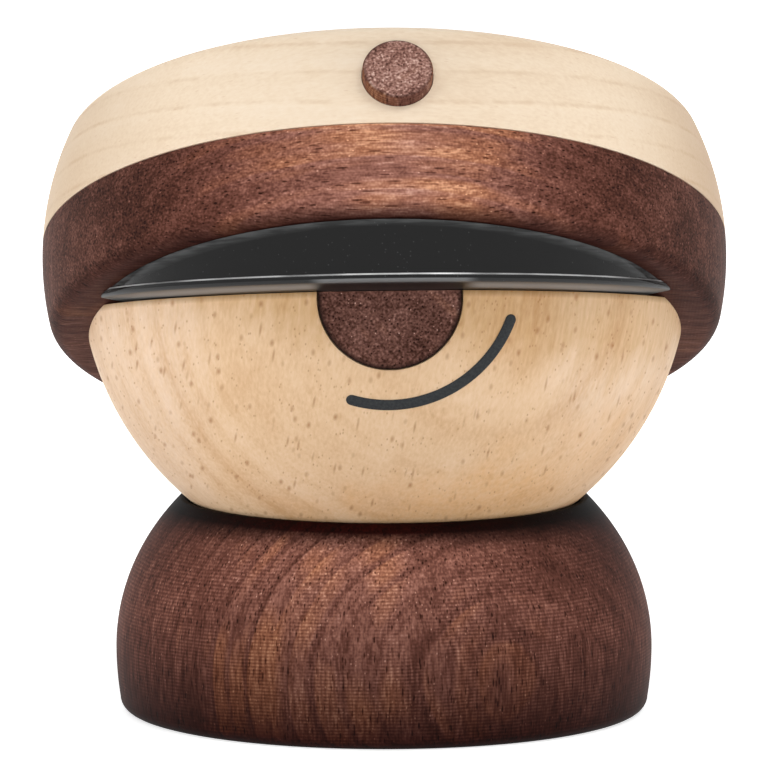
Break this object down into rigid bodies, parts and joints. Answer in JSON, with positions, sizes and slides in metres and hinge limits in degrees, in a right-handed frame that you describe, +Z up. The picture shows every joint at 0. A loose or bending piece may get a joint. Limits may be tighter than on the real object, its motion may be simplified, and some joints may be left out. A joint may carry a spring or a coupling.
{
  "type": "wooden student figurine",
  "caption": "Small turned wooden figure: a ball head with a tilted peaked cap, a dowel nose and a lopsided smile, turning on a domed body.",
  "frame": {"origin": "centre of the body's flat underside, on the neck's axis", "axes": "+Z up, along the neck's axis; the face and the cap's visor look along -Y; +X is the figure's left"},
  "size_m": [0.0975, 0.0963, 0.1003],
  "materials": {
    "reddish_brown_hardwood": "satin oiled",
    "hardwood_end_grain": "sanded end grain, matt oiled",
    "beech": "satin, clear",
    "maple": "satin, clear",
    "black_lacquered_wood": "satin black lacquer",
    "black_paint": "matt black paint film"
  },
  "bodies": {
    "torso": {"body": "reddish_brown_hardwood", "neck_dowel": "beech"},
    "head_and_cap": {"head": "beech", "nose": "hardwood_end_grain", "smile": "black_paint", "visor": "black_lacquered_wood", "cap_band": "reddish_brown_hardwood", "cap_crown": "maple", "cap_dowel": "beech", "cap_button": "hardwood_end_grain"}
  },
  "joints": [
    {"name": "head_turn", "type": "hinge", "parent": "torso", "child": "head_and_cap", "pos_m": [0, 0, 0.0638], "axis": [0, 0, 1], "continuous": true}
  ]
}
